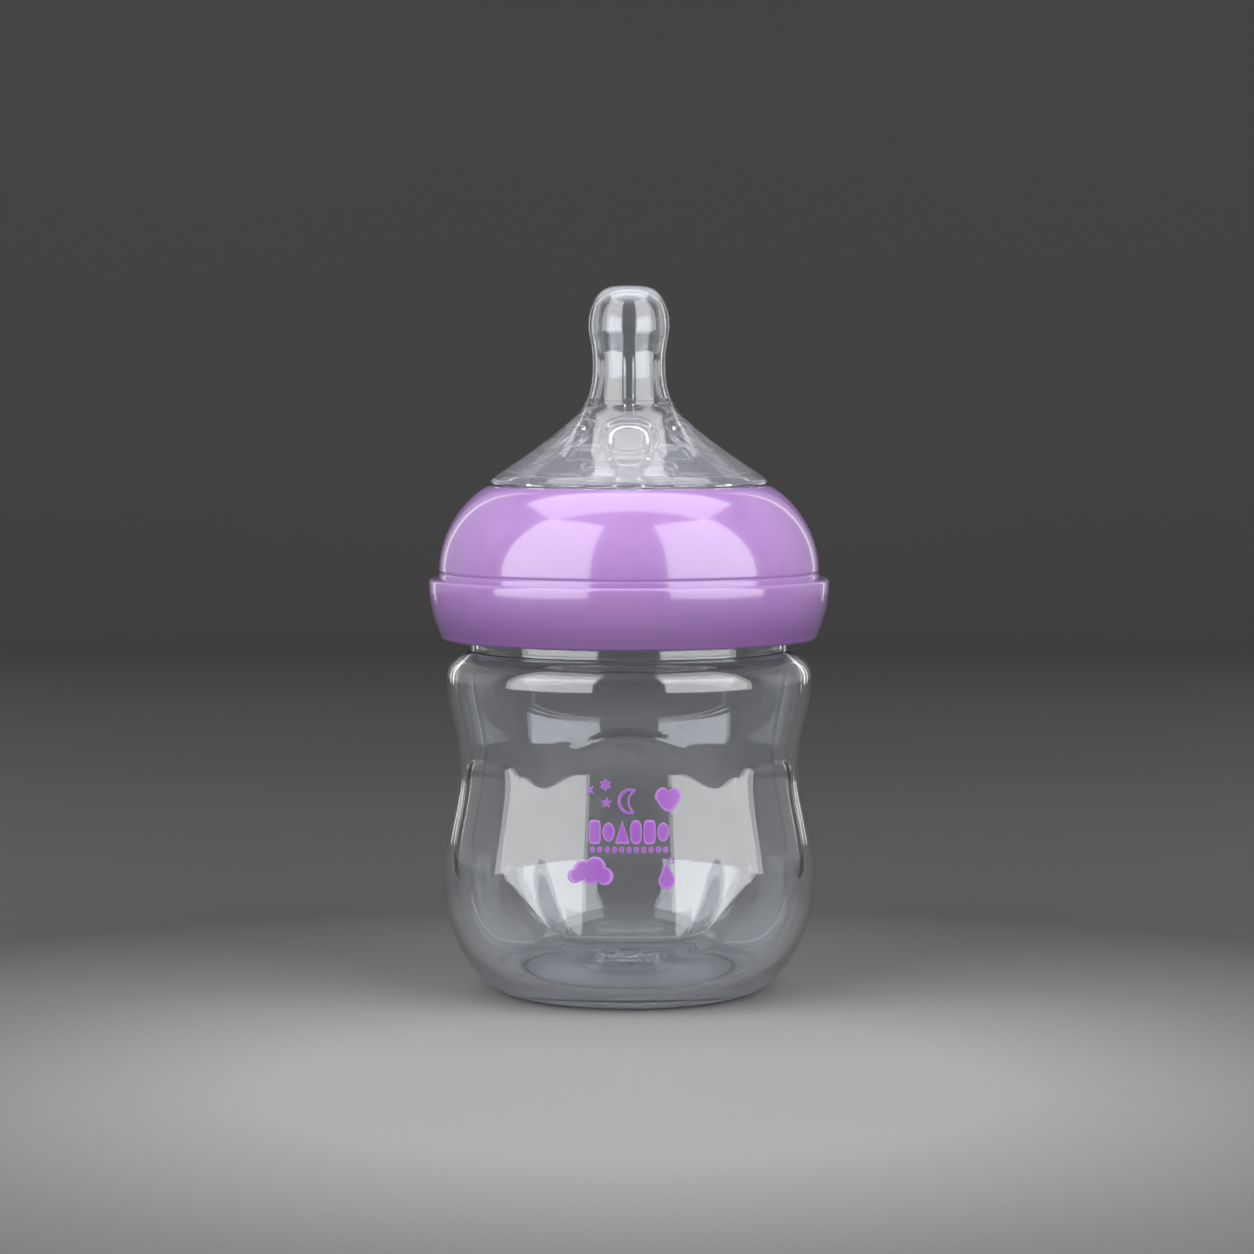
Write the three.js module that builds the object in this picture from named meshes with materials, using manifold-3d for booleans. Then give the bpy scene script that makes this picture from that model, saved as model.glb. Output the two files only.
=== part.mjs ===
// A wide-neck baby bottle: a clear moulded body, the screw collar that carries the teat, and a
// silicone teat with a vent. Millimetres, +Z up, the picture side of the body facing -Y. The origin
// is the middle of the flat ring that the bottle stands on.
import * as THREE from "three";
import { mergeVertices } from "three/addons/utils/BufferGeometryUtils.js";
import Module from "manifold-3d";

const wasm = await Module();
wasm.setup();

// Body, outside
const STAND_RING_INNER = 17.4; // the flat ring under the base
const STAND_RING_OUTER = 19.7;
const PUNT_RISE = 2.4; // how far the middle of the base is pushed up
const BELLY_RADIUS = 32.7;
const BELLY_HEIGHT = 20.7;
const WAIST_RADIUS = 30.0;
const WAIST_HEIGHT = 41.0;
const SHOULDER_OUT = 4.4; // how far the shoulder stands out past the neck
const SHOULDER_HEIGHT = 55.6;
const SHOULDER_RISE = 4.7; // height of the rounded shoulder
const SHOULDER_REACH = 4.6; // how far it comes in
const BODY_WALL = 2.0;
const FLOOR_THICKNESS = 3.0;

// The round dish that is drawn into the front, and the four grip pads at the sides
const DISH_HEIGHT = 28.2;
const DISH_RADIUS = 21.4;
const DISH_FLAT_RADIUS = 17.4; // where the dish's edge begins, above and below its middle
const DISH_FLAT_SIDE = 12.5; // and at its sides, where the edge is softer
const DISH_FACE_RADIUS = 39.0; // the dish's face is flatter across than the wall
const DISH_ROUND = 0.15; // how gently it stops where it would come out in front of the wall
const DISH_DEPTH = 1.6; // at the waist and above it
const DISH_LEAN = THREE.MathUtils.degToRad(4.7); // below the waist the dish is straight, and leans in
const DISH_BLEND_BELOW = 6.0; // where the straight part passes into the even one, below and above the waist
const DISH_BLEND_ABOVE = 2.0;
const PAD_FROM = THREE.MathUtils.degToRad(41); // azimuth from the front or the back
const PAD_TO = THREE.MathUtils.degToRad(70);
const PAD_LOW = 21.6;
const PAD_HIGH = 41.9;
const PAD_CORNER = 3.0;
const PAD_EDGE = 2.0; // width of the pad's rounded edge
const PAD_RELIEF = 0.5;

// Neck and screw thread
const NECK_RADIUS = 27.8;
const NECK_WALL = 2.3;
const NECK_LENGTH = 23.1;
const NECK_BEAD = 0.7; // the bead at the foot of the neck stands out by this much
const NECK_BEAD_HEIGHT = 1.7;
const RIM_BEVEL = 0.5;
const THREAD_PITCH = 6.0;
const THREAD_TURNS = 1.25;
const THREAD_HEIGHT = 1.6;
const THREAD_ROOT_WIDTH = 2.6;
const THREAD_CREST_WIDTH = 1.0;
const THREAD_FADE_ANGLE = Math.PI / 8; // a thread rises from its wall over this angle
const THREAD_LEAST_SHARE = 0.15; // of its height, at its very end
const THREAD_ROOTED = 0.5; // how deep the ridge sits in the wall that it is joined to
const NECK_THREAD_RISE = 7.5; // from the foot of the neck to the middle of the thread's low end
const THREAD_CREST_GAP = 0.6; // between a crest and the wall it faces
const THREAD_FLANK_GAP = 0.35; // along the axis

// Collar
const COLLAR_FOOT_GAP = 1.95; // between the shoulder and the collar's lower edge
const BAND_HEIGHT = 10.6;
const BAND_WALL = 5.1; // from the bore to the band's widest
const BAND_TAPER = 2.05; // how much narrower the band is at its foot
const BAND_TAPER_POWER = 2.05;
const EDGE_ROUND = 0.7;
const DOME_WALL = 3.3; // from the bore to the dome's foot
const DOME_SHAPE_POWER = 0.78;
const DOME_EDGE = 0.2; // the dome's top shows this much round the teat's bead
const LIP_THICKNESS = 3.2;
const LIP_WALL = 2.0; // between the teat's seat and the outside of the dome
const LIP_REACH = 7.1; // from the bore in to the hole that the teat is pulled through
const SEAT_GAP = 0.3; // between the neck's rim, the teat's flange and the collar's lip
const FLANGE_SIDE_GAP = 0.5;

// Teat
const FLANGE_THICKNESS = 1.8;
const FLANGE_BEVEL = 0.7;
const TEAT_WALL = 1.3;
const TEAT_GROOVE_GAP = 0.4; // between the lip's hole and the teat's groove
const BEAD_OVERHANG = 1.4; // how far the teat's bead covers the lip
const BEAD_ROUND = 0.5;
const FLARE_HEIGHT = 18.8; // from the bead to the stem
const STEM_RADIUS = 6.4;
const STEM_TO_BULB = 8.6;
const BULB_RADIUS = 7.2;
const BULB_TO_TIP = 7.2;
const TIP_HOLE_RADIUS = 0.35;
const RIB_COUNT = 6;
const RIB_HEIGHT = 0.5; // ribs inside the stem, which keep it from folding shut
const PETAL_COUNT = 6;
const PETAL_THICKNESS = 0.6; // pads inside the flare
const PETAL_FOOT = 0.3; // where a petal starts and ends, as shares of the flare's height
const PETAL_TIP = 0.62;
const VENT_WIDTH = 4.7;
const VENT_HEIGHT = 2.4;
const VENT_DEPTH = 2.2;
const VENT_SLIT = 0.35;
const VENT_SLIT_WIDTH = 3.4;

const SEGMENTS = 48; // round the axis
const FULL_TURN = 2 * Math.PI;
const QUARTER_TURN = Math.PI / 2;
const ON_AXIS = 1e-6;

// Heights and radii that follow
const neckFoot = SHOULDER_HEIGHT + SHOULDER_RISE;
const neckTop = neckFoot + NECK_LENGTH;
const shoulderRadius = NECK_RADIUS + SHOULDER_OUT;
const boreRadius = NECK_RADIUS + THREAD_HEIGHT + THREAD_CREST_GAP;
const bandRadius = boreRadius + BAND_WALL;
const domeFootRadius = boreRadius + DOME_WALL;
const lipRadius = boreRadius - LIP_REACH;
const beadRadius = lipRadius + BEAD_OVERHANG;
const domeTopRadius = beadRadius + DOME_EDGE;
const bandFoot = neckFoot + COLLAR_FOOT_GAP;
const ledgeHeight = bandFoot + BAND_HEIGHT;
const flangeFoot = neckTop + SEAT_GAP;
const flangeTop = flangeFoot + FLANGE_THICKNESS;
const lipFoot = flangeTop + SEAT_GAP;
const lipTop = lipFoot + LIP_THICKNESS;
const beadFoot = lipTop + SEAT_GAP;

const { smoothstep, lerp } = THREE.MathUtils;
const at = (radius, height) => new THREE.Vector2(radius, height);

// Points of an ellipse's arc about a centre, from one angle to another, in radius and height.
function arc(centreRadius, centreHeight, reachOut, reachUp, from, to, steps) {
  return Array.from({ length: steps + 1 }, (_, i) => {
    const angle = lerp(from, to, i / steps);
    return at(centreRadius + reachOut * Math.cos(angle), centreHeight + reachUp * Math.sin(angle));
  });
}

// Points of a smooth S between two radii that lie at two heights, without its first point.
function sweep(fromRadius, fromHeight, toRadius, toHeight, steps) {
  return Array.from({ length: steps }, (_, i) => {
    const share = (i + 1) / steps;
    const blend = (1 - Math.cos(Math.PI * share)) / 2;
    return at(lerp(fromRadius, toRadius, blend), lerp(fromHeight, toHeight, share));
  });
}

// A closed profile turned round the axis. reliefAt(azimuth, height, radius) moves a point outwards;
// azimuth is 0 at the front.
function turned(profile, reliefAt = () => 0) {
  const geometry = new THREE.LatheGeometry([...profile, profile[0]], SEGMENTS);
  geometry.rotateX(Math.PI / 2);
  const place = geometry.getAttribute("position");
  for (let i = 0; i < place.count; i++) {
    const x = place.getX(i);
    const y = place.getY(i);
    const radius = Math.hypot(x, y);
    if (radius < ON_AXIS) continue;
    const scale = 1 + reliefAt(Math.atan2(x, -y), place.getZ(i), radius) / radius;
    place.setXY(i, x * scale, y * scale);
  }
  return solidOf(geometry);
}

// A closed geometry as a solid that can be joined and cut.
function solidOf(geometry) {
  geometry.deleteAttribute("normal");
  geometry.deleteAttribute("uv");
  const merged = mergeVertices(geometry, 1e-4);
  const mesh = new wasm.Mesh({
    numProp: 3,
    vertProperties: merged.getAttribute("position").array,
    triVerts: new Uint32Array(merged.index.array),
  });
  return new wasm.Manifold(mesh);
}

// A solid as a named mesh.
function piece(name, solid, material) {
  const { vertProperties, triVerts } = solid.getMesh();
  const geometry = new THREE.BufferGeometry();
  geometry.setAttribute("position", new THREE.BufferAttribute(vertProperties, 3));
  geometry.setIndex(new THREE.BufferAttribute(triVerts, 1));
  geometry.computeVertexNormals();
  const mesh = new THREE.Mesh(geometry, material);
  mesh.name = name;
  return mesh;
}

// A right-hand thread on a wall of rootRadius, with its crest at crestRadius. A straight bar with the
// ridge's section is bent round the axis and lowered by the pitch, from the thread's top end down.
// The crest rises from the wall at both ends.
function thread(rootRadius, crestRadius, footHeight) {
  const buried = rootRadius - Math.sign(crestRadius - rootRadius) * THREAD_ROOTED;
  const section = new THREE.Shape([
    at(buried, -THREAD_ROOT_WIDTH / 2),
    at(rootRadius, -THREAD_ROOT_WIDTH / 2),
    at(crestRadius, -THREAD_CREST_WIDTH / 2),
    at(crestRadius, THREAD_CREST_WIDTH / 2),
    at(rootRadius, THREAD_ROOT_WIDTH / 2),
    at(buried, THREAD_ROOT_WIDTH / 2),
  ]);
  const length = THREAD_TURNS * FULL_TURN;
  const steps = Math.round(THREAD_TURNS * SEGMENTS);
  const bar = new THREE.ExtrudeGeometry(section, { depth: length, steps, bevelEnabled: false });
  const place = bar.getAttribute("position");
  for (let i = 0; i < place.count; i++) {
    const angle = place.getZ(i);
    const fromEnd = Math.min(angle, length - angle);
    const rise = Math.max(Math.min(1, fromEnd / THREAD_FADE_ANGLE), THREAD_LEAST_SHARE);
    const onCrest = Math.abs(place.getX(i) - crestRadius) < 1e-3;
    const radius = onCrest ? lerp(rootRadius, crestRadius, rise) : place.getX(i);
    const height = footHeight + place.getY(i) + (THREAD_PITCH * (length - angle)) / FULL_TURN;
    place.setXYZ(i, radius * Math.cos(-angle), radius * Math.sin(-angle), height);
  }
  return solidOf(bar);
}

// How far a rounded rectangle's edge is from a point, negative inside it.
function roundedBoxDistance(across, up, halfWidth, halfHeight, corner) {
  const past = at(Math.abs(across) - halfWidth + corner, Math.abs(up) - halfHeight + corner);
  const outside = Math.hypot(Math.max(past.x, 0), Math.max(past.y, 0));
  return outside + Math.min(Math.max(past.x, past.y), 0) - corner;
}

// The outside radius of the bare wall, between the stand ring and the shoulder.
function wallRadius(height) {
  const below = Math.max(0, (BELLY_HEIGHT - height) / BELLY_HEIGHT);
  const heel = (BELLY_RADIUS - STAND_RING_OUTER) * Math.sqrt(Math.max(0, 1 - below ** 2));
  const share = (low, high) => Math.min(Math.max((height - low) / (high - low), 0), 1);
  const blend = (low, high) => (1 - Math.cos(Math.PI * share(low, high))) / 2;
  const toWaist = (BELLY_RADIUS - WAIST_RADIUS) * blend(BELLY_HEIGHT, WAIST_HEIGHT);
  const toShoulder = (shoulderRadius - WAIST_RADIUS) * blend(WAIST_HEIGHT, SHOULDER_HEIGHT);
  return STAND_RING_OUTER + heel - toWaist + toShoulder;
}

// How deep the dish is: below the waist its face is a straight line, whatever the wall beside it does.
function dishDepth(across, height) {
  const face = WAIST_RADIUS - DISH_DEPTH + (WAIST_HEIGHT - height) * Math.tan(DISH_LEAN);
  const blend = smoothstep(height, WAIST_HEIGHT - DISH_BLEND_BELOW, WAIST_HEIGHT + DISH_BLEND_ABOVE);
  const middle = lerp(wallRadius(height) - face, DISH_DEPTH, blend);
  const depth = middle - (across ** 2 / 2) * (1 / WAIST_RADIUS - 1 / DISH_FACE_RADIUS);
  return (depth + Math.hypot(depth, DISH_ROUND)) / 2;
}

// The body's relief: a dish drawn in at the front, and grip pads that stand out.
function bodyRelief(azimuth, height, radius) {
  const across = Math.cos(azimuth) > 0 ? radius * Math.sin(azimuth) : radius;
  const fromDish = Math.hypot(across, height - DISH_HEIGHT);
  const upright = ((height - DISH_HEIGHT) / Math.max(fromDish, 1)) ** 2;
  const flatRadius = lerp(DISH_FLAT_SIDE, DISH_FLAT_RADIUS, upright);
  const dish = dishDepth(across, height) * (1 - smoothstep(fromDish, flatRadius, DISH_RADIUS));
  const fromFace = Math.atan2(Math.abs(Math.sin(azimuth)), Math.abs(Math.cos(azimuth)));
  const edge = roundedBoxDistance(
    (fromFace - (PAD_FROM + PAD_TO) / 2) * radius,
    height - (PAD_LOW + PAD_HIGH) / 2,
    ((PAD_TO - PAD_FROM) / 2) * radius,
    (PAD_HIGH - PAD_LOW) / 2,
    PAD_CORNER,
  );
  return PAD_RELIEF * (1 - smoothstep(edge, -PAD_EDGE, 0)) - dish;
}

// The clear body: base, belly, waist, shoulder and the threaded neck, open at the top.
function bottleBody() {
  const neckInner = NECK_RADIUS - NECK_WALL;
  const neckBeadRadius = NECK_RADIUS + NECK_BEAD;
  const neckBeadTop = neckFoot + NECK_BEAD_HEIGHT;
  const heelReach = BELLY_RADIUS - STAND_RING_OUTER;
  const insideDrop = BELLY_HEIGHT - FLOOR_THICKNESS;
  const shoulderCentre = shoulderRadius - SHOULDER_REACH;
  const beadAngle = Math.acos((neckBeadRadius - shoulderCentre) / SHOULDER_REACH);
  const insideReach = shoulderRadius - BODY_WALL - neckInner;
  const insideRise = SHOULDER_RISE - BODY_WALL / 2;
  const outside = [
    ...sweep(0, PUNT_RISE, STAND_RING_INNER, 0, 4).slice(0, 3),
    at(STAND_RING_INNER, 0),
    ...arc(STAND_RING_OUTER, BELLY_HEIGHT, heelReach, BELLY_HEIGHT, -QUARTER_TURN, 0, 7),
    ...sweep(BELLY_RADIUS, BELLY_HEIGHT, WAIST_RADIUS, WAIST_HEIGHT, 6),
    ...sweep(WAIST_RADIUS, WAIST_HEIGHT, shoulderRadius, SHOULDER_HEIGHT, 4),
    ...arc(shoulderCentre, SHOULDER_HEIGHT, SHOULDER_REACH, SHOULDER_RISE, 0, beadAngle, 4).slice(1),
    at(neckBeadRadius, neckBeadTop),
    at(NECK_RADIUS, neckBeadTop + NECK_BEAD),
    at(NECK_RADIUS, neckTop - RIM_BEVEL),
    at(NECK_RADIUS - RIM_BEVEL, neckTop),
  ];
  const inside = [
    at(neckInner, neckTop),
    ...arc(neckInner, SHOULDER_HEIGHT, insideReach, insideRise, QUARTER_TURN, 0, 4),
    ...sweep(shoulderRadius - BODY_WALL, SHOULDER_HEIGHT, WAIST_RADIUS - BODY_WALL, WAIST_HEIGHT, 4),
    ...sweep(WAIST_RADIUS - BODY_WALL, WAIST_HEIGHT, BELLY_RADIUS - BODY_WALL, BELLY_HEIGHT, 5),
    ...arc(STAND_RING_OUTER, BELLY_HEIGHT, heelReach - BODY_WALL, insideDrop, 0, -QUARTER_TURN, 6).slice(1),
  ];
  const middle = [at(0, PUNT_RISE + FLOOR_THICKNESS), at(0, PUNT_RISE)];
  const shell = turned([...outside, ...inside, ...middle], bodyRelief);
  return shell.add(thread(NECK_RADIUS, NECK_RADIUS + THREAD_HEIGHT, neckFoot + NECK_THREAD_RISE));
}

// The dome's radius at a share of its height: wide and upright at its foot, closing in at its top.
function domeRadius(share) {
  return lerp(domeTopRadius, domeFootRadius, (1 - share ** 2) ** DOME_SHAPE_POWER);
}

// The collar: a tapered band with a ledge for a hood, a dome above it, and a lip that holds the teat.
function screwCollar() {
  const domeHeight = lipTop - ledgeHeight;
  const bandSteps = 6;
  const band = Array.from({ length: bandSteps + 1 }, (_, i) => {
    const share = i / bandSteps;
    const taper = BAND_TAPER * (1 - share) ** BAND_TAPER_POWER;
    return at(bandRadius - taper, lerp(bandFoot + EDGE_ROUND, ledgeHeight - EDGE_ROUND, share));
  });
  const rimRadius = bandRadius - EDGE_ROUND;
  const rim = arc(rimRadius, ledgeHeight - EDGE_ROUND, EDGE_ROUND, EDGE_ROUND, 0, QUARTER_TURN, 2);
  const domeSteps = 9;
  const dome = Array.from({ length: domeSteps }, (_, i) => {
    const share = Math.sin((Math.PI / 2) * ((i + 1) / domeSteps));
    return at(domeRadius(share), ledgeHeight + domeHeight * share);
  });
  const seatShare = (lipFoot - ledgeHeight) / domeHeight;
  const seatRadius = domeRadius(seatShare) - LIP_WALL;
  const boreTop = neckTop - (boreRadius - NECK_RADIUS);
  const profile = [
    at(boreRadius + EDGE_ROUND, bandFoot),
    at(bandRadius - BAND_TAPER - EDGE_ROUND, bandFoot),
    ...band,
    ...rim.slice(1),
    at(domeFootRadius, ledgeHeight),
    ...dome,
    at(lipRadius, lipTop),
    at(lipRadius, lipFoot),
    at(seatRadius, lipFoot),
    at(boreRadius, boreTop),
    at(boreRadius, bandFoot + EDGE_ROUND),
  ];
  // Where the two threads pass each other, their half widths add up to the same at every radius.
  const flankSlope = (THREAD_ROOT_WIDTH - THREAD_CREST_WIDTH) / 2 / THREAD_HEIGHT;
  const halfWidths = THREAD_ROOT_WIDTH - flankSlope * (boreRadius - NECK_RADIUS);
  const threadFoot = neckFoot + NECK_THREAD_RISE - halfWidths - THREAD_FLANK_GAP;
  return turned(profile).add(thread(boreRadius, boreRadius - THREAD_HEIGHT, threadFoot));
}

// The teat's outside from its bead to its tip, as a smooth curve in radius and height.
function teatCurve() {
  const stemFoot = beadFoot + FLARE_HEIGHT;
  const bulbHeight = stemFoot + STEM_TO_BULB;
  const tip = bulbHeight + BULB_TO_TIP;
  const onFlare = (radiusShare, heightShare) =>
    at(lerp(STEM_RADIUS, beadRadius, radiusShare), beadFoot + FLARE_HEIGHT * heightShare);
  return new THREE.SplineCurve([
    onFlare(0.94, 0.08),
    onFlare(0.6, 0.3),
    onFlare(0.3, 0.52),
    onFlare(0.11, 0.7),
    onFlare(0.025, 0.89),
    at(STEM_RADIUS, stemFoot + STEM_TO_BULB * 0.25),
    at(lerp(STEM_RADIUS, BULB_RADIUS, 0.4), stemFoot + STEM_TO_BULB * 0.65),
    at(BULB_RADIUS, bulbHeight),
    at(BULB_RADIUS * 0.93, lerp(bulbHeight, tip, 0.48)),
    at(BULB_RADIUS * 0.7, lerp(bulbHeight, tip, 0.84)),
    at(BULB_RADIUS * 0.42, lerp(bulbHeight, tip, 0.975)),
    at(TIP_HOLE_RADIUS, tip),
  ]);
}

// The teat: a thin wall that flares to a bead, a groove for the collar's lip and a flange on the neck.
function teat() {
  const steps = 22;
  const curve = teatCurve();
  const outer = curve.getPoints(steps);
  const grooveRadius = lipRadius - TEAT_GROOVE_GAP;
  const throat = grooveRadius - TEAT_WALL;
  const inner = outer.map((point, i) => {
    const along = curve.getTangent(i / steps);
    const inward = at(point.x - TEAT_WALL * along.y, point.y + TEAT_WALL * along.x);
    return at(Math.max(Math.min(inward.x, throat), TIP_HOLE_RADIUS), inward.y);
  });
  inner[steps] = at(TIP_HOLE_RADIUS, outer[steps].y - TEAT_WALL);
  const domeHeight = lipTop - ledgeHeight;
  const flangeRadius = domeRadius((lipFoot - ledgeHeight) / domeHeight) - LIP_WALL - FLANGE_SIDE_GAP;
  const profile = [
    at(throat, flangeFoot),
    at(flangeRadius + FLANGE_BEVEL, flangeFoot),
    at(flangeRadius, flangeTop),
    at(grooveRadius, flangeTop),
    at(grooveRadius, beadFoot),
    at(beadRadius - BEAD_ROUND, beadFoot),
    at(beadRadius, beadFoot + BEAD_ROUND),
    ...outer,
    ...inner.reverse(),
  ];
  const shell = turned(profile, (azimuth, height, radius) => -teatRelief(azimuth, height, radius));
  const ventBlock = ventBox(throat, VENT_WIDTH, VENT_DEPTH, VENT_HEIGHT);
  const ventSlit = ventBox(throat, VENT_SLIT_WIDTH, 4 * VENT_DEPTH, VENT_SLIT);
  return shell.add(ventBlock).subtract(ventSlit);
}

// How far the ribs in the stem and the petals in the flare stand in from the teat's inner wall.
function teatRelief(azimuth, height, radius) {
  const stemFoot = beadFoot + FLARE_HEIGHT;
  const share = (height - beadFoot) / FLARE_HEIGHT;
  const outerRadius = teatRadiusAt(height);
  if (radius > outerRadius - TEAT_WALL / 2 || radius < TIP_HOLE_RADIUS + 1e-6) return 0;
  const rib = Math.cos(azimuth * RIB_COUNT) > 0.9 ? RIB_HEIGHT : 0;
  const inStem = smoothstep(share, PETAL_TIP, 1) * (1 - smoothstep(height, stemFoot + 2, stemFoot + 5));
  const petal = smoothstep(Math.cos(azimuth * PETAL_COUNT), 0.3, 0.7) * PETAL_THICKNESS;
  const inFlare = share > PETAL_FOOT && share < PETAL_TIP ? 1 : 0;
  return rib * inStem + petal * inFlare;
}

// The teat's outer radius at a height, between the points of its outline.
function teatRadiusAt(height) {
  const next = teatOutline.findIndex((point) => point.y > height);
  if (next < 0) return 0;
  if (next === 0) return beadRadius;
  const low = teatOutline[next - 1];
  const high = teatOutline[next];
  return lerp(low.x, high.x, (height - low.y) / (high.y - low.y));
}

// A box at the vent's place, at the front of the flare and half sunk in its wall.
function ventBox(throat, width, depth, height) {
  const box = new THREE.BoxGeometry(width, depth, height);
  box.translate(0, (VENT_DEPTH - TEAT_WALL) / 2 - throat, beadFoot + VENT_HEIGHT / 2);
  return solidOf(box);
}

const clearPlastic = new THREE.MeshStandardMaterial({
  color: 0xe4eaf2,
  roughness: 0.08,
  metalness: 0,
  transparent: true,
  opacity: 0.35,
});
const lilacPlastic = new THREE.MeshStandardMaterial({ color: 0xb58cdb, roughness: 0.25, metalness: 0 });
const silicone = new THREE.MeshStandardMaterial({
  color: 0xdfe3ea,
  roughness: 0.3,
  metalness: 0,
  transparent: true,
  opacity: 0.55,
});

const teatOutline = teatCurve().getPoints(80);

const bottle = new THREE.Group();
bottle.add(
  piece("bottle_body", bottleBody(), clearPlastic),
  piece("screw_collar", screwCollar(), lilacPlastic),
  piece("teat", teat(), silicone),
);

export default bottle;
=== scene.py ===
"""The looks of a wide-neck baby bottle: a clear body with a printed picture, a lilac screw collar and a
silicone teat. Shapes are written in millimetres and turned into metres when a mesh is made. The picture
side of the bottle faces -Y and the bottle stands on the plane z = 0."""
import math

import bpy
import numpy as np
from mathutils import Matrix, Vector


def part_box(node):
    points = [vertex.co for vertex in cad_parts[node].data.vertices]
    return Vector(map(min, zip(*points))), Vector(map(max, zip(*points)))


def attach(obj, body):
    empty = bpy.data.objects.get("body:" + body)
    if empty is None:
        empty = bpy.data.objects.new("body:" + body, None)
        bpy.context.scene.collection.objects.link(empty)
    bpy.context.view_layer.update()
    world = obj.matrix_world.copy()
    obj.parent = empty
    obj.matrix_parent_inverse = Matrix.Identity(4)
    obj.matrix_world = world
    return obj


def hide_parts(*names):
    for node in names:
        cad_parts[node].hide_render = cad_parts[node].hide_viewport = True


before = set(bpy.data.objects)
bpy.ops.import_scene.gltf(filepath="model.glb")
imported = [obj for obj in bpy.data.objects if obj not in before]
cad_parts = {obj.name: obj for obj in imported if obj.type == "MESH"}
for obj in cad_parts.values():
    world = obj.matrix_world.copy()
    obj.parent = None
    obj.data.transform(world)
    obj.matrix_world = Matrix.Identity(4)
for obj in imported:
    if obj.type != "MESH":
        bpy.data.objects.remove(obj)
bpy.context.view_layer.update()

MM = 0.001
FULL_TURN = 2 * math.pi
QUARTER_TURN = math.pi / 2


def corners_mm(node):
    """A CAD node's lowest and highest corners, in mm to three places."""
    return [[round(value / MM, 3) for value in corner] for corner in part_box(node)]


_, body_high = corners_mm("bottle_body")
collar_low, collar_high = corners_mm("screw_collar")
teat_low, teat_high = corners_mm("teat")

# ---------------------------------------------------------------- sizes of the moulded pieces, in mm

BELLY_RADIUS = body_high[0]
BELLY_HEIGHT = 20.7
WAIST_RADIUS = 30.0
WAIST_HEIGHT = 41.0
SHOULDER_RADIUS = 32.2
SHOULDER_HEIGHT = 55.6
SHOULDER_REACH = 4.6
SHOULDER_RISE = 4.7
STAND_RING_INNER = 17.4
STAND_RING_OUTER = 19.7
PUNT_RISE = 2.4
BODY_WALL = 2.0
FLOOR_THICKNESS = 3.0
GATE_RADIUS = 2.8
GATE_HEIGHT = 0.9
GATE_RING_RADIUS = 5.0
GATE_RING_HEIGHT = 0.6
GATE_RING_HALF_WIDTH = 1.0
GATE_SHARE_INSIDE = 0.8  # how high the gate is on the floor, as a share of its height under it

DISH_HEIGHT = 28.2
DISH_RADIUS = 21.4
DISH_FLAT_RADIUS = 18.3
DISH_FLAT_SIDE = 12.5
DISH_FACE_RADIUS = 39.0
DISH_ROUND = 0.15
DISH_DEPTH = 1.6
DISH_SLOPE = math.tan(math.radians(4.7))
DISH_BEND_FROM = WAIST_HEIGHT - 6  # the dish's straight face bends back between these two heights
DISH_BEND_TO = WAIST_HEIGHT + 2
PAD_FROM = math.radians(41)
PAD_TO = math.radians(70)
PAD_LOW = 21.6
PAD_HIGH = 41.9
PAD_CORNER = 3.0
PAD_EDGE = 1.0
PAD_RELIEF = 0.25

NECK_RADIUS = 27.8
NECK_WALL = 2.3
NECK_FOOT = 60.3
NECK_TOP = body_high[2]
NECK_BEAD = 0.35
NECK_BEAD_HEIGHT = 1.7
RIM_BEVEL = 0.5

THREAD_PITCH = 6.0
THREAD_LENGTH = 1.25 * FULL_TURN
THREAD_HEIGHT = 1.6
THREAD_ROOT_HALF = 1.3
THREAD_CREST_HALF = 0.5
THREAD_FADE = math.pi / 8
THREAD_RISE = 1.35 * THREAD_PITCH + 1  # from the thread's foot to just above its top
NECK_THREAD_FOOT = 67.8
COLLAR_THREAD_FOOT = 65.95

BORE_RADIUS = 30.0
BAND_RADIUS = collar_high[0]
BAND_FOOT = collar_low[2]
BAND_TAPER = 2.05
BAND_TAPER_POWER = 2.05
EDGE_ROUND = 0.7
LEDGE_HEIGHT = 72.85
DOME_FOOT_RADIUS = 33.3
DOME_TOP_RADIUS = 24.5
DOME_POWER = 0.78
LEDGE_GROOVE = 0.35
LEDGE_GROOVE_RADIUS = 34.1
STEP_HEIGHT = 1.3
STEP_NOTCH = 0.3
LIP_TOP = collar_high[2]
LIP_FOOT = 85.8
LIP_RADIUS = 22.9
SEAT_RADIUS = 26.5
BORE_TOP = 81.2

FLANGE_FOOT = teat_low[2]
FLANGE_TOP = 85.5
FLANGE_RADIUS = 26.0
FLANGE_BEVEL = 0.7
GROOVE_RADIUS = 22.5
THROAT_RADIUS = 21.2
BEAD_FOOT = 89.3
BEAD_RADIUS = 24.3
BEAD_ROUND = 0.5
TEAT_WALL = 1.3
FLARE_HEIGHT = 18.8
STEM_RADIUS = 6.4
STEM_TOP = BEAD_FOOT + FLARE_HEIGHT
BULB_RADIUS = 7.2
BULB_HEIGHT = 116.7
TIP_HEIGHT = teat_high[2]
TIP_HOLE_RADIUS = 0.35

# ---------------------------------------------------------------- surfaces

FINE_STEP = 0.05  # spacing of a profile before its corners are rounded
TURN_PER_ROW = 0.13  # radians of bend between two rows of a surface
CLOSEST_ROWS = 0.14
SPREAD = 12  # fine steps over which the rows' spacing changes
UNLIMITED = 9.0  # a spacing that is wider than any in use


def smooth(value, low, high):
    """0 below low and 1 above high; between them 6t^5 - 15t^4 + 10t^3, which leaves no crease."""
    share = np.clip((value - low) / (high - low), 0, 1)
    return share**3 * (share * (6 * share - 15) + 10)


def within(edge, inner, outer=0.0):
    """1 where a distance is below inner, falling smoothly to 0 at outer."""
    return 1 - smooth(edge, inner, outer)


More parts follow.
